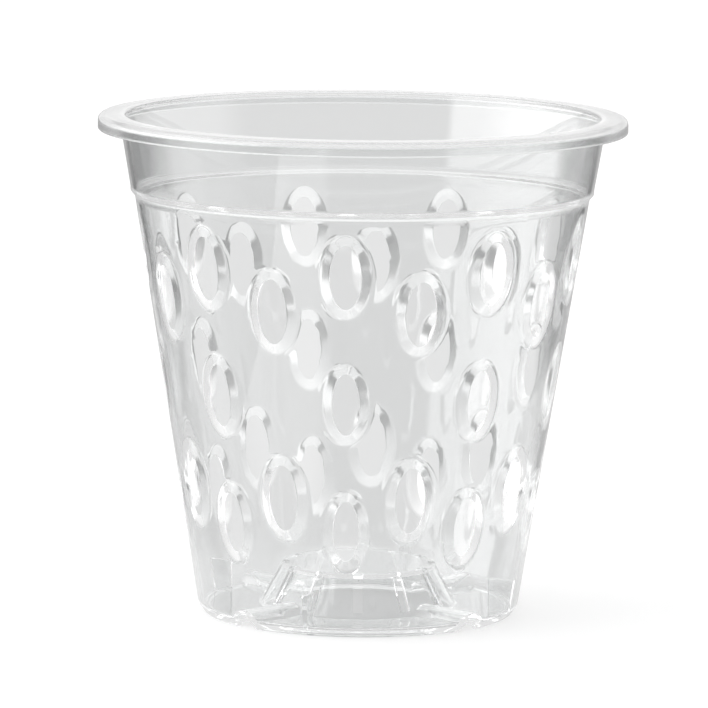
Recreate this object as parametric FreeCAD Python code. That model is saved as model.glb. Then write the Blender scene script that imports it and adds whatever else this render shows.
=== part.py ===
import FreeCAD, Part

import math
import os

# Clear slotted orchid pot, 130 mm across the lip, in millimetres, standing on z = 0 with its axis on Z.
# The real pot is one moulding. Each region of it is a solid of its own here, and the regions meet
# face to face. Azimuth is in degrees about Z, counted from the front, which is -Y, towards +X.

# Overall form
pot_height = 123.0
rim_radius = 65.0
wall_thickness = 1.3

# Lip: a flat flange with a rounded outer edge and a skirt turned down from it
lip_overhang = 5.3
lip_depth = 3.6
flange_thickness = 1.3
skirt_thickness = 1.3
lip_edge_radius = 1.5
lip_inner_edge_radius = 0.5

# Collar: the plain band under the lip, and the stacking shoulder below it
collar_height = 16.5
collar_draft = 2.8
shoulder_width = 1.05
shoulder_height = 2.0
shoulder_land_height = 0.8

# Slotted wall: its outer radius at the base is a share of that at the top
wall_base_share = 0.709

# Foot band: the lowest part of the wall, bevelled in to the edge that the pot stands on
foot_band_height = 6.0
foot_bevel_height = 2.1
foot_set_in = 1.5
foot_edge_width = 1.3

# Floor round the dome
floor_thickness = 1.2
floor_clearance = 0.8

# Aeration dome: a raised hollow cone with upright slots, closed by a flat cap. Its foot is a share of
# the pot's foot, and its top a share of its own foot.
dome_foot_share = 0.635
dome_top_share = 0.775
dome_height = 12.0
dome_wall = 1.2
dome_cap_thickness = 1.2
dome_edge_radius = 0.5
dome_slot_count = 12
dome_slot_width = 2.4
dome_slot_sill = 1.2
dome_notch_depth = 1.8

# Drain tunnels: half-round ducts on the floor, open below, from the dome to arches in the foot
tunnel_count = 4
tunnel_first_azimuth = 45.0
tunnel_radius = 3.4
tunnel_wall = 1.2

# Stacking ribs: upright fins in the corner of wall and floor
rib_count = 4
rib_first_azimuth = -19.0
rib_thickness = 1.2
rib_depth = 4.5
rib_height = 8.0

# Air slots: upright ovals in columns, bevelled so that each is wider inside the pot than outside.
# Columns with three slots alternate with columns with two. A slot's centre and height are shares of
# the slotted wall's height, and its width is a share of the way between columns at its centre.
column_pairs = 9
three_column_azimuth = -4.0
slot_bevel = 2.5
three_column_slots = (
    {"centre_share": 0.214, "width_share": 0.776, "height_share": 0.212},
    {"centre_share": 0.538, "width_share": 0.719, "height_share": 0.216},
    {"centre_share": 0.859, "width_share": 0.705, "height_share": 0.220},
)
two_column_slots = (
    {"centre_share": 0.292, "width_share": 0.825, "height_share": 0.226},
    {"centre_share": 0.766, "width_share": 0.725, "height_share": 0.222},
)

# How far a cutting solid runs past what it cuts, and how near an edge is to where it is looked for
overrun = 1.0
edge_tolerance = 0.01

# Worked out from the sizes above
FULL_TURN = 360.0
column_step = FULL_TURN / column_pairs
collar_top_radius = rim_radius - lip_overhang
collar_base_radius = collar_top_radius - collar_draft
wall_top_radius = collar_base_radius - shoulder_width
wall_base_radius = wall_top_radius * wall_base_share
foot_radius = wall_base_radius - foot_set_in
foot_inner_radius = foot_radius - foot_edge_width
dome_foot_radius = foot_radius * dome_foot_share
dome_top_radius = dome_foot_radius * dome_top_share
dome_notch_radius = dome_top_radius - dome_notch_depth
floor_top = floor_clearance + floor_thickness
lip_bottom = pot_height - lip_depth
collar_top = pot_height - flange_thickness
collar_bottom = collar_top - collar_height
wall_top = collar_bottom - shoulder_height
slotted_height = wall_top - foot_band_height
wall_slope = (wall_top_radius - wall_base_radius) / (wall_top - foot_bevel_height)
wall_tilt = math.atan(wall_slope)
dome_cap_bottom = dome_height - dome_cap_thickness
dome_slope = (dome_foot_radius - dome_top_radius) / (dome_height - floor_top)

UP = FreeCAD.Vector(0, 0, 1)
FRONT = FreeCAD.Vector(0, -1, 0)
CENTRE = FreeCAD.Vector(0, 0, 0)


def wall_outside(z):
    """Outer radius of the tapered wall at height z."""
    return wall_base_radius + wall_slope * (z - foot_bevel_height)


def wall_inside(z):
    return wall_outside(z) - wall_thickness


def dome_outside(z):
    """Outer radius of the dome's cone at height z, upright below the top of the floor."""
    return dome_foot_radius - dome_slope * max(z - floor_top, 0)


def point(radius, z):
    """A point of a profile, in the half plane of the front."""
    return FreeCAD.Vector(0, -radius, z)


def turned(shape, azimuth):
    """A copy of a shape made at the front, turned to its azimuth."""
    copy = shape.copy()
    copy.rotate(CENTRE, UP, azimuth)
    return copy


def ring(profile):
    """A ring turned from a closed profile of (radius, height) points. Its seam lies between columns."""
    corners = [point(radius, z) for radius, z in profile]
    face = Part.Face(Part.makePolygon(corners + corners[:1]))
    return turned(face.revolve(CENTRE, UP, FULL_TURN), three_column_azimuth + column_step / 4)


def rounded(solid, radius, edge_radius, edge_height):
    """Rounds the circular edges of a ring that have the given radius and height."""
    chosen = [
        edge
        for edge in solid.Edges
        if isinstance(edge.Curve, Part.Circle)
        and abs(edge.Curve.Radius - edge_radius) < edge_tolerance
        and abs(edge.Curve.Center.z - edge_height) < edge_tolerance
    ]
    return solid.makeFillet(radius, chosen)


def make_rim_lip():
    skirt_inside = rim_radius - skirt_thickness
    inner_radius = collar_top_radius - wall_thickness
    lip = ring(
        [
            (inner_radius, collar_top),
            (inner_radius, pot_height),
            (rim_radius, pot_height),
            (rim_radius, lip_bottom),
            (skirt_inside, lip_bottom),
            (skirt_inside, collar_top),
        ]
    )
    lip = rounded(lip, lip_edge_radius, rim_radius, pot_height)
    return rounded(lip, lip_inner_edge_radius, inner_radius, pot_height)


def make_collar_band():
    return ring(
        [
            (collar_top_radius, collar_top),
            (collar_base_radius, collar_bottom),
            (collar_base_radius - wall_thickness, collar_bottom),
            (collar_top_radius - wall_thickness, collar_top),
        ]
    )


def make_stacking_shoulder():
    """The step where the collar turns in to the narrower wall, with a short upright land above it."""
    land = collar_bottom - shoulder_land_height
    return ring(
        [
            (collar_base_radius, collar_bottom),
            (collar_base_radius, land),
            (wall_top_radius, wall_top),
            (wall_top_radius - wall_thickness, wall_top),
            (wall_top_radius - wall_thickness, land),
            (collar_base_radius - wall_thickness, collar_bottom),
        ]
    )


def flat_half_width(half_width, surface_radius):
    """Half width of a bevelled slot in the flat plane that touches a round wall.

    The wall curves away from that plane, and the bevel widens the slot as it does.
    """
    sagitta = surface_radius - math.sqrt(surface_radius**2 - half_width**2)
    return half_width - sagitta * slot_bevel / wall_thickness


def slot_outline(centre, half_width, half_height):
    along = FreeCAD.Vector(0, -math.sin(wall_tilt), math.cos(wall_tilt)) * half_height
    across = FreeCAD.Vector(half_width, 0, 0)
    return Part.Wire(Part.Ellipse(centre + along, centre + across, centre).toShape())


def slot_cutter(slot):
    """The tapered oval plug of one air slot at the front. Its widest end is inside the pot."""
    z = foot_band_height + slot["centre_share"] * slotted_height
    between_columns = wall_outside(z) * math.radians(column_step / 2)
    half_width = slot["width_share"] * between_columns / 2
    half_height = slot["height_share"] * slotted_height / 2
    outward = FreeCAD.Vector(0, -math.cos(wall_tilt), -math.sin(wall_tilt))
    depth = wall_thickness * math.cos(wall_tilt)
    inner_half = flat_half_width(half_width, wall_inside(z))
    outer_half = flat_half_width(half_width - slot_bevel, wall_outside(z))
    widening = (inner_half - outer_half) / depth
    heightening = slot_bevel / depth
    outer_height = half_height - slot_bevel
    outlines = []
    for distance in (overrun, -depth - 2 * overrun):
        outlines.append(
            slot_outline(
                point(wall_outside(z), z) + outward * distance,
                outer_half - widening * distance,
                outer_height - heightening * distance,
            )
        )
    return Part.makeLoft(outlines, True, True)


def make_slotted_wall():
    wall = ring(
        [
            (wall_outside(foot_band_height), foot_band_height),
            (wall_top_radius, wall_top),
            (wall_top_radius - wall_thickness, wall_top),
            (wall_inside(foot_band_height), foot_band_height),
        ]
    )
    cutters = []
    for pair in range(column_pairs):
        azimuth = three_column_azimuth + pair * column_step
        for slot in three_column_slots:
            cutters.append(turned(slot_cutter(slot), azimuth))
        for slot in two_column_slots:
            cutters.append(turned(slot_cutter(slot), azimuth + column_step / 2))
    return wall.cut(cutters)


def radial_rod(radius, start, end):
    """A round rod that lies along the radius at the front, with its axis on the ground."""
    return Part.makeCylinder(radius, end - start, point(start, 0), FRONT)


def tunnel_azimuths():
    return [tunnel_first_azimuth + i * FULL_TURN / tunnel_count for i in range(tunnel_count)]


def rib_azimuths():
    return [rib_first_azimuth + i * FULL_TURN / rib_count for i in range(rib_count)]


def bores():
    """The air ways of the drain tunnels, from inside the dome to outside the foot."""
    rod = radial_rod(tunnel_radius, dome_top_radius - dome_wall, rim_radius)
    return [turned(rod, azimuth) for azimuth in tunnel_azimuths()]


def corner_space():
    """The ring of space between the dome and the wall, from under the floor to the foot band's top."""
    return ring(
        [
            (dome_foot_radius, floor_clearance),
            (foot_inner_radius, floor_clearance),
            (foot_inner_radius, floor_top),
            (wall_inside(floor_top), floor_top),
            (wall_inside(foot_band_height), foot_band_height),
            (dome_outside(foot_band_height), foot_band_height),
            (dome_foot_radius, floor_top),
        ]
    )


def make_foot_band():
    band = ring(
        [
            (foot_radius, 0),
            (wall_base_radius, foot_bevel_height),
            (wall_outside(foot_band_height), foot_band_height),
            (wall_inside(foot_band_height), foot_band_height),
            (wall_inside(floor_top), floor_top),
            (foot_inner_radius, floor_top),
            (foot_inner_radius, 0),
        ]
    )
    return band.cut(bores())


def make_floor_ring():
    floor = ring(
        [
            (dome_foot_radius, floor_clearance),
            (foot_inner_radius, floor_clearance),
            (foot_inner_radius, floor_top),
            (dome_foot_radius, floor_top),
        ]
    )
    rod = radial_rod(tunnel_radius + tunnel_wall, dome_top_radius, rim_radius)
    return floor.cut([turned(rod, azimuth) for azimuth in tunnel_azimuths()])


def make_drain_tunnel():
    """One half-round duct at the front, open below, ending on the dome and on the foot band."""
    outside = radial_rod(tunnel_radius + tunnel_wall, dome_top_radius, rim_radius)
    inside = radial_rod(tunnel_radius, dome_top_radius - overrun, rim_radius + overrun)
    return outside.cut(inside).common(corner_space())


def dome_slot_cutters(bottom):
    """Upright slabs, one for each slot of the dome, from a height to over its top."""
    reach = dome_foot_radius + overrun
    box = Part.makeBox(dome_slot_width, reach - dome_notch_radius, dome_height + overrun - bottom)
    box.translate(FreeCAD.Vector(-dome_slot_width / 2, -reach, bottom))
    return [turned(box, i * FULL_TURN / dome_slot_count) for i in range(dome_slot_count)]


def make_aeration_dome():
    cone = ring(
        [
            (dome_foot_radius, floor_clearance),
            (dome_foot_radius, floor_top),
            (dome_outside(dome_cap_bottom), dome_cap_bottom),
            (dome_outside(dome_cap_bottom) - dome_wall, dome_cap_bottom),
            (dome_foot_radius - dome_wall, floor_top),
            (dome_foot_radius - dome_wall, floor_clearance),
        ]
    )
    return cone.cut(dome_slot_cutters(floor_top + dome_slot_sill) + bores())


def make_dome_cap():
    cap = ring(
        [
            (0, dome_cap_bottom),
            (dome_outside(dome_cap_bottom), dome_cap_bottom),
            (dome_top_radius, dome_height),
            (0, dome_height),
        ]
    )
    cap = rounded(cap, dome_edge_radius, dome_top_radius, dome_height)
    return cap.cut(dome_slot_cutters(dome_cap_bottom - overrun))


def make_stacking_rib():
    """One upright fin at the front, standing on the floor against the foot band and the wall."""
    rib_top = floor_top + rib_height
    inner_radius = wall_inside(floor_top) - rib_depth
    corners = [
        point(inner_radius, floor_top),
        point(wall_inside(floor_top), floor_top),
        point(wall_inside(rib_top), rib_top),
        point(inner_radius, rib_top),
    ]
    face = Part.Face(Part.makePolygon(corners + corners[:1]))
    face.translate(FreeCAD.Vector(-rib_thickness / 2, 0, 0))
    fin = face.extrude(FreeCAD.Vector(rib_thickness, 0, 0))
    wall_space = ring(
        [
            (0, floor_top),
            (wall_inside(floor_top), floor_top),
            (wall_inside(rib_top), rib_top),
            (0, rib_top),
        ]
    )
    return fin.common(wall_space)


def build():
    """Every region of the moulding by name."""
    regions = {
        "rim_lip": make_rim_lip(),
        "collar_band": make_collar_band(),
        "stacking_shoulder": make_stacking_shoulder(),
        "slotted_wall": make_slotted_wall(),
        "foot_band": make_foot_band(),
        "floor_ring": make_floor_ring(),
        "aeration_dome": make_aeration_dome(),
        "dome_cap": make_dome_cap(),
    }
    tunnel = make_drain_tunnel()
    for number, azimuth in enumerate(tunnel_azimuths(), 1):
        regions[f"drain_tunnel_{number}"] = turned(tunnel, azimuth)
    rib = make_stacking_rib()
    for number, azimuth in enumerate(rib_azimuths(), 1):
        regions[f"stacking_rib_{number}"] = turned(rib, azimuth)
    return regions


os.makedirs("parts", exist_ok=True)
for name, shape in build().items():
    shape.exportStep(f"parts/{name}.step")
    print(name, "solids", len(shape.Solids), "volume", round(shape.Volume, 1), "valid", shape.isValid())
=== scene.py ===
import math

import bmesh
import bpy
from mathutils import Matrix, Vector


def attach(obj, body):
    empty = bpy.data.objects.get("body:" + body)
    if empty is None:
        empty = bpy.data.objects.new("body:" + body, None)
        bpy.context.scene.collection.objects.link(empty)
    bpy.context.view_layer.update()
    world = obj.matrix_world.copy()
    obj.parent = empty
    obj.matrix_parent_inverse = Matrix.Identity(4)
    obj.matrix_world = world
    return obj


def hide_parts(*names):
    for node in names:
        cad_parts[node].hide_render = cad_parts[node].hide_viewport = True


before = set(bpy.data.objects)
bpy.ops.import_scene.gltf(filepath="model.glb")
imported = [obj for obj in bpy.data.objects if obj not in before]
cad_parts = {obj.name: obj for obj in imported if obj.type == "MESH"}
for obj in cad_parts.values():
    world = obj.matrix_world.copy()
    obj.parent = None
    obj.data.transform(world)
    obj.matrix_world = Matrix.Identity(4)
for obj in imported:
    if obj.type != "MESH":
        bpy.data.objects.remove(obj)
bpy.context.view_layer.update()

# Sizes of the pot in millimetres and degrees, those of the CAD source rounded. Azimuth runs from the front, -Y,
# towards +X.
MM = 0.001
pot_height = 123.0
rim_radius = 65.0
wall_thickness = 1.3
lip_bottom = 119.4
skirt_inside = 63.7
collar_top = 121.7
collar_top_radius = 59.7
collar_bottom = 105.2
collar_base_radius = 56.9
shoulder_land = 104.4
wall_top = 103.2
wall_top_radius = 55.85
wall_base_radius = 39.6
foot_bevel_height = 2.1
foot_band_height = 6.0
foot_radius = 38.1
foot_inner_radius = 36.8
floor_bottom = 0.8
floor_top = 2.0
dome_foot_radius = 24.2
dome_top_radius = 18.75
dome_height = 12.0
dome_cap_bottom = 10.8
dome_wall = 1.2
dome_slot_count = 12
dome_slot_width = 2.4
dome_slot_sill = 1.2
dome_notch_radius = 16.95
tunnel_azimuths = (45.0, 135.0, 225.0, 315.0)
tunnel_radius = 3.4
tunnel_wall = 1.2
rib_azimuths = (-19.0, 71.0, 161.0, 251.0)
rib_thickness = 1.2
rib_depth = 4.5
rib_height = 8.0
column_pairs = 9
three_column_azimuth = -4.0
# Each air slot: its share of the height from the foot band to the wall's top, its width and its height
three_column_slots = ((0.214, 11.8, 20.6), (0.538, 12.2, 21.0), (0.859, 13.2, 21.4))
two_column_slots = ((0.292, 12.9, 22.0), (0.766, 13.2, 21.6))
# Wider than the 2.5 of the CAD source, because the photograph shows wider rings
slot_bevel = 2.95

# Fillets at the corners of the moulding's profile, in millimetres
land_fillet = 0.35
collar_fillet = 0.6
hollow_fillet = 0.5
skirt_fillet = 0.4
lip_fillet = 1.5
mouth_fillet = 0.5
foot_fillet = 1.2
standing_fillet = 0.35
underside_fillet = 0.3
dome_hollow_foot_fillet = 0.4
dome_hollow_top_fillet = 0.5
dome_fillet = 0.6
floor_fillet = 0.8
# How far a slot's outer and inner edges are rounded, and the bevel on the sharp edges of foot, floor and dome
feather = 0.3
inner_round = 0.9
edge_bevel = 0.18
# The flat middle of the dome's cap, the height in the floor at which tunnel roofs and ribs start, and how far
# the slabs cut past the dome
cap_middle_radius = 3.0
sunk_height = 1.4
cut_clearance = 1.0

# How finely the moulding is meshed
STRIPS = 2 * column_pairs
STRIP_STEPS = 16
AROUND = STRIPS * STRIP_STEPS
STRIP = 360.0 / STRIPS
FIRST = three_column_azimuth - STRIP / 2
join_height = 12.0
LEVELS = 76
LEVEL_STEP = (wall_top - join_height) / LEVELS
CELL_MARGIN = 2.4
PROFILE_STEPS = 5
PROFILE_SPACING = 3.0
CORNER_SUPPORT = 0.3
FILLET_STEPS = 4
ARCH_STEPS = 32
BORE_STEPS = 48
EDGE_SEGMENTS = 2
# Rings of points round a slot, as shares of the way: in from its patch's border, down the bevel, and out
# again inside
OUTSIDE_SHARES = (0.3, 0.55, 0.76, 0.92)
BEVEL_SHARES = (0.12, 0.5, 0.88)
INSIDE_SHARES = (0.15, 0.4, 0.7)
# Distances in millimetres that count as one point or as at the join, the radius outside which the join's
# faces are, and the angle from which an edge is sharp
MERGE_WITHIN = 0.01
WELD_WITHIN = 0.004
AT_JOIN_WITHIN = 0.001
JOIN_OUTSIDE_RADIUS = 30
SHARP_ANGLE = math.radians(38)

wall_slope = (wall_top_radius - wall_base_radius) / (wall_top - foot_bevel_height)
wall_tilt = math.atan(wall_slope)
dome_slope = (dome_foot_radius - dome_top_radius) / (dome_height - floor_top)


def wall_outside(z):
    """Outer radius of the tapered wall at height z."""
    return wall_base_radius + wall_slope * (z - foot_bevel_height)


def dome_outside(z):
    return dome_foot_radius - dome_slope * max(z - floor_top, 0)


def point(azimuth, radius, z):
    a = math.radians(azimuth)
    return Vector((radius * math.sin(a), -radius * math.cos(a), z))


def on_circle(radius, angle):
    return radius * math.cos(angle), radius * math.sin(angle)


class Skin:
    """Points and faces of a surface."""

    def __init__(self):
        self.points = []
        self.faces = []

    def add(self, points):
        start = len(self.points)
        self.points.extend(points)
        return list(range(start, len(self.points)))

    def bridge(self, a, b, closed=True):
        """Quads between two rows of points of the same length."""
        last = len(a) if closed else len(a) - 1
        for i in range(last):
            j = (i + 1) % len(a)
            self.faces.append((a[i], a[j], b[j], b[i]))

    def rows(self, rows, closed=True):
        for a, b in zip(rows, rows[1:]):
            self.bridge(a, b, closed)

    def mesh(self, name, weld=0.0):
        """A mesh of the surface, with points closer than weld joined and faces turned outwards."""
        build = bmesh.new()
        made = [build.verts.new(p) for p in self.points]
        for face in self.faces:
            build.faces.new([made[i] for i in face])
        if weld:
            bmesh.ops.remove_doubles(build, verts=build.verts, dist=weld)
        bmesh.ops.recalc_face_normals(build, faces=build.faces)
        mesh = bpy.data.meshes.new(name)
        build.to_mesh(mesh)
        build.free()
        return mesh


def filleted(corners):
    """A profile of (radius, height) points with its corners rounded and its runs divided.

    Each corner is (radius, height, fillet radius). The two ends of the profile stay sharp.
    """
    line = []
    for i, (r, z, fillet) in enumerate(corners):
        here = Vector((r, z))
        if fillet == 0 or i in (0, len(corners) - 1):
            line.append([here])
            continue
        back = (Vector(corners[i - 1][:2]) - here).normalized()
        ahead = (Vector(corners[i + 1][:2]) - here).normalized()
        half = back.angle(ahead) / 2
        reach = fillet / math.tan(half)
        centre = here + (back + ahead).normalized() * (fillet / math.sin(half))
        start, end = here + back * reach - centre, here + ahead * reach - centre
        turn = start.angle_signed(end)
        arc = []
        for k in range(PROFILE_STEPS + 1):
            a = -turn * k / PROFILE_STEPS
            cos, sin = math.cos(a), math.sin(a)
            arc.append(centre + Vector((start.x * cos - start.y * sin, start.x * sin + start.y * cos)))
        line.append(arc)
    profile = []
    for a, b in zip(line, line[1:]):
        profile.extend(a)
        p, q = a[-1], b[0]
        run = (q - p).length
        marks = []
        if run > 3 * CORNER_SUPPORT:
            marks = [CORNER_SUPPORT / run, 1 - CORNER_SUPPORT / run]
        pieces = int(run // PROFILE_SPACING)
        marks.extend(k / (pieces + 1) for k in range(1, pieces + 1))
        profile.extend(p.lerp(q, t) for t in sorted(marks))
    profile.extend(line[-1])
    return [(v.x, v.y) for v in profile]


def ring_points(radius, z):
    return [point(FIRST + 360.0 * i / AROUND, radius, z) for i in range(AROUND)]


def turned_rows(skin, profile):
    """Rings of points for a profile, joined by quads. Gives the rings."""
    rings = [skin.add(ring_points(r, z)) for r, z in profile]
    skin.rows(rings)
    return rings


def slot_ring(cell, depth, grow, angles):
    """(azimuth, height) of points round a slot at a depth below the outer surface."""
    centre, z, half_width, half_height = cell["azimuth"], cell["z"], cell["half_width"], cell["half_height"]
    share = 1 - depth / wall_thickness
    across = half_width - slot_bevel * share + grow
    along = (half_height - slot_bevel * share + grow) * math.cos(wall_tilt)
    ring = []
    for a in angles:
        height = z + along * math.sin(a)
        radius = wall_outside(height) - depth
        ring.append((centre + math.degrees(across * math.cos(a) / radius), height))
    return ring


def on_wall(ring, depth):
    return [point(a, wall_outside(z) - depth, z) for a, z in ring]


def blended(a, b, share):
    """Points part of the way from ring a to ring b, in azimuth and height."""
    return [(p[0] + (q[0] - p[0]) * share, p[1] + (q[1] - p[1]) * share) for p, q in zip(a, b)]


def rounded(starts, edges, ends):
    """Rings of points along the curves from starts to ends that round the edges between them."""
    rings = []
    for k in range(FILLET_STEPS + 1):
        s = k / FILLET_STEPS
        curves = zip(starts, edges, ends)
        rings.append([a * (1 - s) ** 2 + e * (2 * s * (1 - s)) + b * s**2 for a, e, b in curves])
    return rings


def level(k):
    return join_height + k * LEVEL_STEP


def slot_cell(azimuth, slot):
    """The patch of wall round one slot, bounded by the strip's edges and two levels."""
    share, width, height = slot
    z = foot_band_height + share * (wall_top - foot_band_height)
    low = math.floor((z - height / 2 - CELL_MARGIN - join_height) / LEVEL_STEP)
    high = math.ceil((z + height / 2 + CELL_MARGIN - join_height) / LEVEL_STEP)
    return {"azimuth": azimuth, "z": z, "half_width": width / 2, "half_height": height / 2,
            "low": max(low, 0), "high": min(high, LEVELS)}


def strip_steps():
    """Azimuths of the points across a strip, from its middle."""
    return [STRIP * (i / STRIP_STEPS - 0.5) for i in range(STRIP_STEPS + 1)]


def cell_border(cell):
    """(azimuth, height) of the points round a patch, and the angle that each is seen at from its middle."""
    steps = strip_steps()
    low, high = cell["low"], cell["high"]
    border = [(cell["azimuth"] + s, level(low)) for s in steps[:-1]]
    border += [(cell["azimuth"] + STRIP / 2, level(k)) for k in range(low, high)]
    border += [(cell["azimuth"] + s, level(high)) for s in reversed(steps[1:])]
    border += [(cell["azimuth"] - STRIP / 2, level(k)) for k in range(high, low, -1)]
    angles = []
    for azimuth, z in border:
        x = (azimuth - cell["azimuth"]) / (STRIP / 2)
        up = z - cell["z"]
        y = up / (level(high) - cell["z"] if up > 0 else cell["z"] - level(low))
        angles.append(math.atan2(y, x))
    return border, angles


def add_slot(skin, cell):
    """The wall round one slot, outside and inside, and the bevel that joins the two."""
    border, angles = cell_border(cell)
    outer = slot_ring(cell, 0, feather, angles)
    inner = slot_ring(cell, wall_thickness, inner_round, angles)
    outer_edge = on_wall(slot_ring(cell, 0, 0, angles), 0)
    inner_edge = on_wall(slot_ring(cell, wall_thickness, 0, angles), wall_thickness)
    edges = list(zip(outer_edge, inner_edge))
    bevel_start = [e.lerp(f, feather / (f - e).length) for e, f in edges]
    bevel_end = [e.lerp(f, 1 - inner_round / (f - e).length) for e, f in edges]
    rings = [on_wall(border, 0)]
    rings += [on_wall(blended(border, outer, t), 0) for t in OUTSIDE_SHARES]
    rings += rounded(on_wall(outer, 0), outer_edge, bevel_start)
    rings += [[a.lerp(b, t) for a, b in zip(bevel_start, bevel_end)] for t in BEVEL_SHARES]
    rings += rounded(bevel_end, inner_edge, on_wall(inner, wall_thickness))
    rings += [on_wall(blended(inner, border, t), wall_thickness) for t in INSIDE_SHARES]
    rings.append(on_wall(border, wall_thickness))
    skin.rows([skin.add(r) for r in rings])


def add_slotted_wall(skin):
    """The wall from the join up to the shoulder, with its air slots."""
    for strip in range(STRIPS):
        azimuth = three_column_azimuth + strip * STRIP
        slots = two_column_slots if strip % 2 else three_column_slots
        cells = [slot_cell(azimuth, slot) for slot in slots]
        for cell in cells:
            add_slot(skin, cell)
        plain = [k for k in range(LEVELS) if not any(c["low"] <= k < c["high"] for c in cells)]
        for depth in (0, wall_thickness):
            rows = {}
            for k in sorted({k for p in plain for k in (p, p + 1)}):
                radius = wall_outside(level(k)) - depth
                rows[k] = skin.add([point(azimuth + s, radius, level(k)) for s in strip_steps()])
            for k in plain:
                skin.bridge(rows[k], rows[k + 1], closed=False)


def upper_profile():
    """From the slotted wall's outside over the lip to its inside."""
    inside_top = collar_top_radius - wall_thickness
    inside_base = collar_base_radius - wall_thickness
    return filleted([
        (wall_top_radius, wall_top, 0),
        (collar_base_radius, shoulder_land, land_fillet),
        (collar_base_radius, collar_bottom, collar_fillet),
        (collar_top_radius, collar_top, hollow_fillet),
        (skirt_inside, collar_top, hollow_fillet),
        (skirt_inside, lip_bottom, skirt_fillet),
        (rim_radius, lip_bottom, skirt_fillet),
        (rim_radius, pot_height, lip_fillet),
        (inside_top, pot_height, mouth_fillet),
        (inside_base, collar_bottom, collar_fillet),
        (wall_top_radius - wall_thickness, shoulder_land, collar_fillet),
        (wall_top_radius - wall_thickness, wall_top, 0),
    ])


def lower_profiles():
    """The profile from the wall's outside at the join down and in to the dome's middle, and the one back up.

    The first runs under the foot and the floor, the second over the floor to the wall's inside.
    """
    below = filleted([
        (wall_outside(join_height), join_height, 0),
        (wall_base_radius, foot_bevel_height, foot_fillet),
        (foot_radius, 0, standing_fillet),
        (foot_inner_radius, 0, standing_fillet),
        (foot_inner_radius, floor_bottom, underside_fillet),
        (dome_foot_radius - dome_wall, floor_bottom, underside_fillet),
        (dome_foot_radius - dome_wall, floor_top, dome_hollow_foot_fillet),
        (dome_outside(dome_cap_bottom) - dome_wall, dome_cap_bottom, dome_hollow_top_fillet),
        (cap_middle_radius, dome_cap_bottom, 0),
    ])
    above = filleted([
        (cap_middle_radius, dome_height, 0),
        (dome_top_radius, dome_height, dome_fillet),
        (dome_foot_radius, floor_top, dome_fillet),
        (wall_outside(floor_top) - wall_thickness, floor_top, floor_fillet),
        (wall_outside(join_height) - wall_thickness, join_height, 0),
    ])
    return below, above


def frame_at(azimuth):
    """Outward, sideways and up unit vectors at an azimuth."""
    a = math.radians(azimuth)
    return Vector((math.sin(a), -math.cos(a), 0)), Vector((math.cos(a), math.sin(a), 0)), Vector((0, 0, 1))


def add_prism(skin, azimuth, outline, start, end):
    """A closed bar along the radius with an outline of (sideways, height) points.

    start and end give the radius at which the bar starts and ends for such a point.
    """
    out, side, up = frame_at(azimuth)
    ends = []
    for reach in (start, end):
        ends.append(skin.add([out * reach(y, z) + side * y + up * z for y, z in outline]))
    skin.bridge(ends[0], ends[1])
    for row in ends:
        middle = sum((skin.points[i] for i in row), Vector()) / len(row)
        centre = skin.add([middle])[0]
        skin.faces.extend((row[i], row[(i + 1) % len(row)], centre) for i in range(len(row)))


def in_wall(y, z):
    """How far out the middle of the wall's thickness is, for a point y beside the radius at height z."""
    return math.sqrt((wall_outside(z) - wall_thickness / 2) ** 2 - y**2)


def in_dome(y, z):
    """The same for the dome's wall."""
    return math.sqrt((dome_outside(z) - dome_wall / 2) ** 2 - y**2)


def added_solids():
    """The drain tunnels' roofs and the stacking ribs, let into the floor, dome and wall that carry them."""
    skin = Skin()
    roof = tunnel_radius + tunnel_wall
    low = math.asin(sunk_height / roof)
    arch = [on_circle(roof, low + (math.pi - 2 * low) * k / ARCH_STEPS) for k in range(ARCH_STEPS + 1)]
    for azimuth in tunnel_azimuths:
        add_prism(skin, azimuth, arch, in_dome, in_wall)
    half = rib_thickness / 2
    rib_top = floor_top + rib_height
    outline = [(-half, sunk_height), (half, sunk_height), (half, rib_top), (-half, rib_top)]
    inner = wall_outside(floor_top) - wall_thickness - rib_depth
    for azimuth in rib_azimuths:
        add_prism(skin, azimuth, outline, lambda y, z: inner, in_wall)
    return skin


def cut_solids():
    """The bores of the drain tunnels and the slabs that cut the dome's slots."""
    skin = Skin()
    bore = [on_circle(tunnel_radius, math.tau * k / BORE_STEPS) for k in range(BORE_STEPS)]
    for azimuth in tunnel_azimuths:
        add_prism(skin, azimuth, bore, lambda y, z: dome_top_radius - dome_wall, lambda y, z: rim_radius)
    half = dome_slot_width / 2
    sill = floor_top + dome_slot_sill
    top = dome_height + cut_clearance
    slab = [(-half, sill), (half, sill), (half, top), (-half, top)]
    for i in range(dome_slot_count):
        add_prism(skin, i * 360.0 / dome_slot_count, slab,
                  lambda y, z: dome_notch_radius, lambda y, z: dome_foot_radius + cut_clearance)
    return skin


def object_of(mesh):
    made = bpy.data.objects.new(mesh.name, mesh)
    bpy.context.scene.collection.objects.link(made)
    return made


def applied(owner):
    """The object's mesh with its modifiers applied."""
    depsgraph = bpy.context.evaluated_depsgraph_get()
    return bpy.data.meshes.new_from_object(owner.evaluated_get(depsgraph))


def boolean(owner, other, operation):
    modifier = owner.modifiers.new(operation.lower(), "BOOLEAN")
    modifier.operation = operation
    modifier.object = other
    modifier.solver = "EXACT"


def at_join(face):
    """Whether a face is part of the ring that closes the wall's thickness at the join."""
    return all(abs(v.co.z - join_height) < AT_JOIN_WITHIN and v.co.xy.length > JOIN_OUTSIDE_RADIUS
               for v in face.verts)


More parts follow.
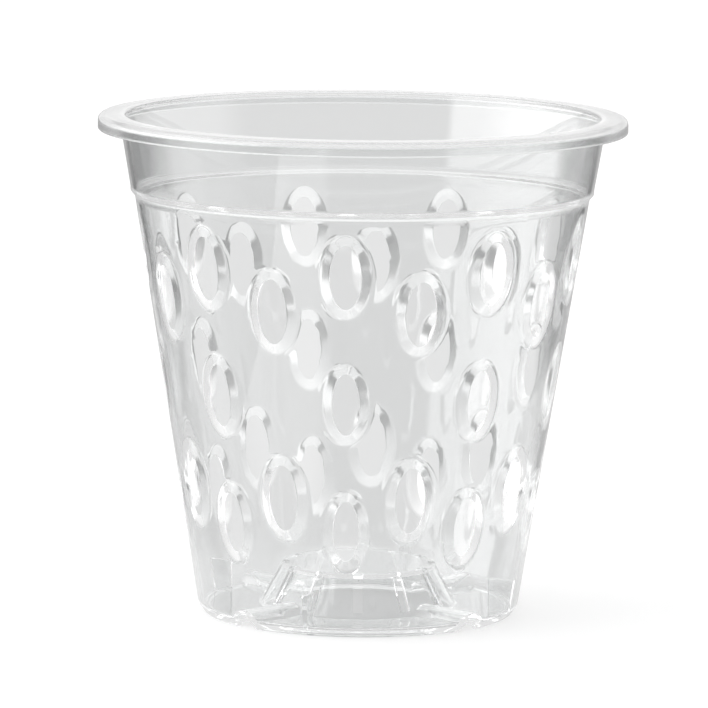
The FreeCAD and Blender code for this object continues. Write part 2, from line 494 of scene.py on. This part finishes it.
def lower_mesh():
    """The foot, floor, dome, tunnels and ribs, worked out as one solid and then opened at the join."""
    skin = Skin()
    below, above = lower_profiles()
    rings_below = turned_rows(skin, below)
    rings_above = turned_rows(skin, above)
    skin.bridge(rings_above[-1], rings_below[0])
    skin.faces.append(tuple(rings_below[-1]))
    skin.faces.append(tuple(rings_above[0]))
    solid = object_of(skin.mesh("lower_solid"))
    added = object_of(added_solids().mesh("added_solids"))
    cut = object_of(cut_solids().mesh("cut_solids"))
    boolean(solid, added, "UNION")
    boolean(solid, cut, "DIFFERENCE")
    mesh = applied(solid)
    for piece in (solid, added, cut):
        bpy.data.objects.remove(piece)
    build = bmesh.new()
    build.from_mesh(mesh)
    bmesh.ops.remove_doubles(build, verts=build.verts, dist=MERGE_WITHIN)
    bmesh.ops.dissolve_degenerate(build, edges=build.edges, dist=MERGE_WITHIN)
    bmesh.ops.delete(build, geom=[f for f in build.faces if at_join(f)], context="FACES")
    sharp = [e for e in build.edges if len(e.link_faces) == 2 and e.calc_face_angle(0) > SHARP_ANGLE]
    bmesh.ops.bevel(build, geom=sharp, offset=edge_bevel, offset_type="OFFSET", segments=EDGE_SEGMENTS,
                    profile=0.5, affect="EDGES", clamp_overlap=True)
    build.to_mesh(mesh)
    build.free()
    return mesh


# The bevels of the slots, the shoulder and the lip are less polished than the rest. How far a face turns from
# the wall's slope to count as a bevel, as cosines from and to, and the height in mm above which slots are
BEVEL_TURNS = (0.99, 0.95)
LOWEST_BEVEL = 14.0
# The lower part of a bevel looks up and is given a painted glow: its normal's Z from and to
LOOKS_UP = (0.12, 0.5)
# How far past their corners the shoulder and the lip are unpolished, in mm
PAST_CORNER = 0.6


def ramp(value, start, end):
    """0 at start, 1 at end, even between them and level beyond."""
    return min(1.0, max(0.0, (value - start) / (end - start)))


def mark_finish(mesh):
    """Write on each face how far it is unpolished, how far it looks up for the painted glow, and whether it is
    the lip's.
    """
    marks = {"unpolished": [], "painted_glow_up": [], "lip": []}
    for polygon in mesh.polygons:
        centre, normal = polygon.center, polygon.normal
        z = centre.z / MM
        radius = centre.xy.length / MM
        bevel = 0.0
        from_middle = abs(radius - wall_outside(z) + wall_thickness / 2)
        if LOWEST_BEVEL < z < wall_top and from_middle < wall_thickness:
            out = centre.xy.normalized() * math.cos(wall_tilt)
            along = abs(out.x * normal.x + out.y * normal.y - math.sin(wall_tilt) * normal.z)
            bevel = ramp(along, *BEVEL_TURNS)
        shoulder = wall_top - PAST_CORNER < z < collar_bottom + PAST_CORNER
        lip = z > collar_top - PAST_CORNER or radius > collar_top_radius + PAST_CORNER
        marks["unpolished"].append(1.0 if shoulder or lip else bevel)
        marks["painted_glow_up"].append(bevel * ramp(normal.z, *LOOKS_UP))
        marks["lip"].append(1.0 if lip else 0.0)
    for name, values in marks.items():
        mesh.attributes.new(name, "FLOAT", "FACE").data.foreach_set("value", values)


def make_moulding():
    """The whole pot as one closed surface."""
    skin = Skin()
    add_slotted_wall(skin)
    turned_rows(skin, upper_profile())
    lower = lower_mesh()
    start = skin.add([v.co.copy() for v in lower.vertices])
    for polygon in lower.polygons:
        skin.faces.append(tuple(start[i] for i in polygon.vertices))
    bpy.data.meshes.remove(lower)
    mesh = skin.mesh("clear_moulding", weld=WELD_WITHIN)
    mesh.transform(Matrix.Scale(MM, 4))
    mesh.shade_smooth()
    mark_finish(mesh)
    moulding = object_of(mesh)
    weighted = moulding.modifiers.new("even_shading", "WEIGHTED_NORMAL")
    weighted.mode = "FACE_AREA_WITH_ANGLE"
    weighted.keep_sharp = True
    return moulding


def node_of(tree, kind, **values):
    node = tree.nodes.new(kind)
    for name, value in values.items():
        setattr(node, name, value)
    return node


def eased(tree, value, start, end, amount=1.0, interpolation="SMOOTHSTEP"):
    """A node output that goes from 0 to amount as value goes from start to end, by default smoothly."""
    step = node_of(tree, "ShaderNodeMapRange", interpolation_type=interpolation)
    for name, number in (("From Min", start), ("From Max", end), ("To Min", 0.0), ("To Max", amount)):
        step.inputs[name].default_value = number
    tree.links.new(value, step.inputs["Value"])
    return step.outputs["Result"]


def maths(tree, operation, *values):
    """A math node's output. Each value is a number or a node output."""
    node = node_of(tree, "ShaderNodeMath", operation=operation)
    for socket, value in zip(node.inputs, values):
        if isinstance(value, (int, float)):
            socket.default_value = value
        else:
            tree.links.new(value, socket)
    return node.outputs["Value"]


def noise(tree, place, scale, detail):
    node = node_of(tree, "ShaderNodeTexNoise")
    node.inputs["Scale"].default_value = scale
    node.inputs["Detail"].default_value = detail
    tree.links.new(place, node.inputs["Vector"])
    return node.outputs["Fac"]


def face_mark(tree, name):
    """The value that mark_finish wrote on the faces under a name."""
    return node_of(tree, "ShaderNodeAttribute", attribute_name=name).outputs["Fac"]


PLASTIC_COLOUR = (0.92, 0.925, 0.925, 1)
PLASTIC_IOR = 1.5
# The waviness of the surface: noise scale and detail, and the bump's strength and height in metres
WAVES = (45.0, 1.0)
WAVE_STRENGTH = 0.15
WAVE_HEIGHT = 0.0004
# The fine rubbed marks: noise scale and detail, the noise values between which they set in, and how rough
# they are
SCUFFS = (900.0, 3.0)
SCUFFED = (0.45, 0.75)
SCUFF_ROUGHNESS = 0.05
# The roughness that the less polished parts have on top
UNPOLISHED_ROUGHNESS = 0.13
# Light that has turned back more often than this in the plastic is given back as a painted glow: how much, and
# how much at the lip
CARRIED_AFTER = 3.5
CARRIED_PAINTED_GLOW = 0.41
LIP_PAINTED_GLOW = 0.14
# Painted glow that the bevels give where they look up
BEVEL_PAINTED_GLOW = 0.2


def clear_plastic():
    """Clear moulded plastic: slightly wavy, with a faint haze and fine rubbed marks, and a painted glow deep in
    the wall and on bevels that look up.
    """
    material = bpy.data.materials.new("clear_plastic")
    material.use_nodes = True
    tree = material.node_tree
    link = tree.links.new
    shader = tree.nodes["Principled BSDF"]
    shader.inputs["Base Color"].default_value = PLASTIC_COLOUR
    shader.inputs["Transmission Weight"].default_value = 1.0
    shader.inputs["IOR"].default_value = PLASTIC_IOR
    place = node_of(tree, "ShaderNodeTexCoord").outputs["Object"]
    bump = node_of(tree, "ShaderNodeBump")
    bump.inputs["Strength"].default_value = WAVE_STRENGTH
    bump.inputs["Distance"].default_value = WAVE_HEIGHT
    link(noise(tree, place, *WAVES), bump.inputs["Height"])
    link(bump.outputs["Normal"], shader.inputs["Normal"])
    haze = eased(tree, noise(tree, place, *SCUFFS), *SCUFFED, SCUFF_ROUGHNESS, interpolation="LINEAR")
    rough = maths(tree, "MULTIPLY_ADD", face_mark(tree, "unpolished"), UNPOLISHED_ROUGHNESS, haze)
    link(rough, shader.inputs["Roughness"])
    # Cycles drops light that has turned back four times inside the wall. The plastic gives it back as a painted
    # glow, an emission of its own, so that it isn't black there.
    depth = node_of(tree, "ShaderNodeLightPath").outputs["Glossy Depth"]
    turned = maths(tree, "GREATER_THAN", depth, CARRIED_AFTER)
    share = maths(tree, "MULTIPLY_ADD", face_mark(tree, "lip"), LIP_PAINTED_GLOW - CARRIED_PAINTED_GLOW, CARRIED_PAINTED_GLOW)
    painted_carried_glow = maths(tree, "MULTIPLY", turned, share)
    # A painted glow where a slot's bevel looks up, standing in for light that comes down inside the wall and
    # leaves it there
    painted_glow = maths(tree, "MULTIPLY_ADD", face_mark(tree, "painted_glow_up"), BEVEL_PAINTED_GLOW, painted_carried_glow)
    link(painted_glow, shader.inputs["Emission Strength"])
    return material


# The floor: how far it reaches in metres, its squares a side, and how far it lies below the pot's foot
FLOOR_REACH = 8.0
FLOOR_SQUARES = 8
FLOOR_DROP = 0.00005
# Its paint, and how much rays from the camera, rays mirrored by the plastic and rays through it see it lifted
FLOOR_PAINT = 0.36
LIFT_CAMERA = 0.67
LIFT_MIRRORED = 0.45
LIFT_THROUGH = 0.4
# A painted pool of light on the floor round the pot's foot, for light that the clear pot gathers there, and the
# radii between which it fades
PAINTED_GATHERED_LIGHT = 0.08
GATHERED_REACH, GATHERED_WITHIN = 0.13, 0.04
# Behind the pot, rays bent by the plastic see brighter and duller stretches of painted light and painted shade,
# which fan out from FAN in front of it. Each is a slope x / (y + FAN) where it starts, one where it is full, an
# amount, and the depths y between which it sets in.
FAN = 1.43
BEHIND = (0.08, 0.13)
FURTHER_BEHIND = (0.2, 0.3)
FAR_BEHIND = (0.84, 0.92)
PAINTED_THROUGH_STRETCHES = (
    (-0.046, -0.053, 0.4, FURTHER_BEHIND),
    (-0.085, -0.1, -0.4, BEHIND),
    (-0.1, -0.12, -0.5, BEHIND),
    (-0.046, -0.053, -0.4, FAR_BEHIND),
    (-0.044, -0.085, -0.6, FAR_BEHIND),
    (0.047, 0.06, -0.35, BEHIND),
    (0.11, 0.14, -0.3, BEHIND),
)
# Painted shade: far to both sides behind the pot the floor's paint is darker, less so further back. Rays from
# the camera get it back.
PAINTED_SHADE_SIDES = ((0.12, 0.14, 0.05), (-0.12, -0.14, 0.05))
PAINTED_SHADE_NEARBY = 4.8
NEARBY = (0.72, 0.6)
# In front, mirrored rays see it brighter a little to the left and dull further left, a painted reflection of
# light and shade, along lines that slant: each stretch starts and is full at a place x - SLANT * y. Behind,
# they see painted dull stretches by slope as well.
SLANT = 0.216
FRONT = (-0.04, -0.12)
BESIDE = (-0.03, 0.05)
PAINTED_FRONT_STRETCHES = ((-0.005, -0.035, 1.3, FRONT), (-0.138, -0.146, -2.4, FRONT))
PAINTED_MIRRORED_BEHIND = ((-0.035, -0.07, -0.45, BESIDE), (0.03, 0.07, -0.4, BEHIND))


def with_stretches(tree, total, across, y, stretches):
    """total with the amount of each stretch added where across and y are inside it."""
    for start, full, amount, depths in stretches:
        amount = eased(tree, across, start, full, amount)
        total = maths(tree, "MULTIPLY_ADD", amount, eased(tree, y, *depths), total)
    return total


def add_floor():
    """A wide pale floor, lifted to the white of the background for rays from the camera, with painted light and
    shade that only rays through or mirrored by the plastic see.
    """
    skin = Skin()
    marks = [FLOOR_REACH * (2 * k / FLOOR_SQUARES - 1) for k in range(FLOOR_SQUARES + 1)]
    skin.rows([skin.add([Vector((x, y, 0)) for x in marks]) for y in marks], closed=False)
    floor = object_of(skin.mesh("floor"))
    floor.location.z = -FLOOR_DROP
    material = bpy.data.materials.new("pale_floor")
    material.use_nodes = True
    tree = material.node_tree
    tree.nodes.clear()
    link = tree.links.new
    path = node_of(tree, "ShaderNodeLightPath").outputs
    place = node_of(tree, "ShaderNodeTexCoord").outputs["Object"]
    split = node_of(tree, "ShaderNodeSeparateXYZ")
    away = node_of(tree, "ShaderNodeVectorMath", operation="LENGTH")
    link(place, split.inputs["Vector"])
    link(place, away.inputs[0])
    x, y = split.outputs["X"], split.outputs["Y"]
    slope = maths(tree, "DIVIDE", x, maths(tree, "ADD", y, FAN))
    # Rays through the plastic see the even lift, the painted pool of light and painted stretches of light and
    # shade
    through = eased(tree, away.outputs["Value"], GATHERED_REACH, GATHERED_WITHIN, PAINTED_GATHERED_LIGHT)
    through = with_stretches(tree, through, slope, y, PAINTED_THROUGH_STRETCHES)
    through = maths(tree, "MAXIMUM", maths(tree, "ADD", through, LIFT_THROUGH), 0.0)
    slanting = maths(tree, "MULTIPLY_ADD", y, -SLANT, x)
    # Mirrored rays see the even lift with painted light and shade in stretches
    mirrored = with_stretches(tree, LIFT_MIRRORED, slanting, y, PAINTED_FRONT_STRETCHES)
    mirrored = with_stretches(tree, mirrored, slope, y, PAINTED_MIRRORED_BEHIND)
    mirrored = maths(tree, "MAXIMUM", mirrored, 0.0)
    # Light Path counts a ray through glass as glossy too
    only_mirrored = maths(tree, "SUBTRACT", path["Is Glossy Ray"], path["Is Transmission Ray"])
    # Painted shade on the floor's paint, seen only in the plastic, lifted back for rays from the camera
    painted_shade = maths(tree, "ADD", *(eased(tree, slope, *side) for side in PAINTED_SHADE_SIDES))
    painted_shade = maths(tree, "MULTIPLY", painted_shade, eased(tree, y, *BEHIND))
    painted_shade = maths(tree, "MULTIPLY_ADD", painted_shade, eased(tree, y, *NEARBY, PAINTED_SHADE_NEARBY), painted_shade)
    total = maths(tree, "MULTIPLY", path["Is Camera Ray"], maths(tree, "ADD", painted_shade, LIFT_CAMERA))
    total = maths(tree, "MULTIPLY_ADD", path["Is Transmission Ray"], through, total)
    total = maths(tree, "MULTIPLY_ADD", only_mirrored, mirrored, total)
    diffuse = node_of(tree, "ShaderNodeBsdfDiffuse")
    lift = node_of(tree, "ShaderNodeEmission")
    both = node_of(tree, "ShaderNodeAddShader")
    output = node_of(tree, "ShaderNodeOutputMaterial")
    link(maths(tree, "SUBTRACT", FLOOR_PAINT, painted_shade), diffuse.inputs["Color"])
    link(total, lift.inputs["Strength"])
    link(diffuse.outputs["BSDF"], both.inputs[0])
    link(lift.outputs["Emission"], both.inputs[1])
    link(both.outputs["Shader"], output.inputs["Surface"])
    floor.data.materials.append(material)


# The room's brightness at the back and overhead, and in front. Directions are parts of 1 along Y and Z.
ROOM_BRIGHT = 1.04
ROOM_FRONT = 0.06
ROOM_TO_CAMERA = 1.0
FRONT_TO_BACK = (-0.55, -0.15)
OVERHEAD = (0.35, 0.75)
# Soft boxes, in degrees: azimuth from and to, how soft each of these two edges is, elevation from and to, how
# soft these are, and the added brightness
SOFT_BOXES = (
    (-122, -45, 34, 3, -4, 50, 4, 2.48),
)


def soft_box(tree, azimuth, height, box):
    """A soft box's brightness in a direction."""
    left, right, left_soft, right_soft, low, high, soft, brightness = box
    shape = brightness
    for value, edge, softness in ((azimuth, left, left_soft), (azimuth, right, -right_soft),
                                  (height, low, soft), (height, high, -soft)):
        step = eased(tree, value, math.radians(edge - softness), math.radians(edge + softness))
        shape = maths(tree, "MULTIPLY", step, shape)
    return shape


def add_room():
    """A pale studio room with soft boxes, duller behind the camera. The camera itself sees it white."""
    world = bpy.data.worlds.new("studio")
    bpy.context.scene.world = world
    world.use_nodes = True
    tree = world.node_tree
    tree.nodes.clear()
    link = tree.links.new
    split = node_of(tree, "ShaderNodeSeparateXYZ")
    link(node_of(tree, "ShaderNodeTexCoord").outputs["Generated"], split.inputs["Vector"])
    x, y, z = (split.outputs[axis] for axis in "XYZ")
    pale = maths(tree, "MAXIMUM", eased(tree, y, *FRONT_TO_BACK), eased(tree, z, *OVERHEAD))
    total = maths(tree, "MULTIPLY_ADD", pale, ROOM_BRIGHT - ROOM_FRONT, ROOM_FRONT)
    azimuth = maths(tree, "ARCTAN2", x, maths(tree, "MULTIPLY", y, -1.0))
    height = maths(tree, "ARCSINE", z)
    for box in SOFT_BOXES:
        total = maths(tree, "ADD", total, soft_box(tree, azimuth, height, box))
    seen = node_of(tree, "ShaderNodeMix", data_type="FLOAT")
    seen.inputs["B"].default_value = ROOM_TO_CAMERA
    background = node_of(tree, "ShaderNodeBackground")
    background.inputs["Color"].default_value = (1, 1, 1, 1)
    output = node_of(tree, "ShaderNodeOutputWorld")
    link(total, seen.inputs["A"])
    link(node_of(tree, "ShaderNodeLightPath").outputs["Is Camera Ray"], seen.inputs["Factor"])
    link(seen.outputs["Result"], background.inputs["Strength"])
    link(background.outputs["Background"], output.inputs["Surface"])


# The photograph's viewpoint, fitted to the pot's outlines and slots: lens in millimetres, clipping and place
# in metres, and angles in degrees
SENSOR_WIDTH = 36.0
LENS = 298.12
CLIP_START, CLIP_END = 0.05, 50.0
CAMERA_PLACE = (0, -1.43115, 0.26854)
PITCH, YAW, ROLL = 8.1436, -0.0644, 0.6242


def add_camera():
    """A camera 1.46 m away, a little above the rim, turned slightly about its own axis."""
    camera = bpy.data.objects.new("camera", bpy.data.cameras.new("camera"))
    bpy.context.scene.collection.objects.link(camera)
    camera.data.sensor_width = SENSOR_WIDTH
    camera.data.lens = LENS
    camera.data.clip_start, camera.data.clip_end = CLIP_START, CLIP_END
    pitch, yaw, roll = math.radians(PITCH), math.radians(YAW), math.radians(ROLL)
    ahead = Vector((math.sin(yaw) * math.cos(pitch), math.cos(yaw) * math.cos(pitch), -math.sin(pitch)))
    level_right = Vector((math.cos(yaw), -math.sin(yaw), 0))
    level_up = level_right.cross(ahead)
    right = level_right * math.cos(roll) + level_up * math.sin(roll)
    up = level_up * math.cos(roll) - level_right * math.sin(roll)
    axes = Matrix((right, up, -ahead)).transposed()
    camera.matrix_world = Matrix.Translation(CAMERA_PLACE) @ axes.to_4x4()
    bpy.context.scene.camera = camera


add_camera()
moulding = make_moulding()
moulding.data.materials.append(clear_plastic())
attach(moulding, "root")
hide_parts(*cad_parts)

add_floor()
add_room()
bpy.context.scene.view_settings.view_transform = "Standard"
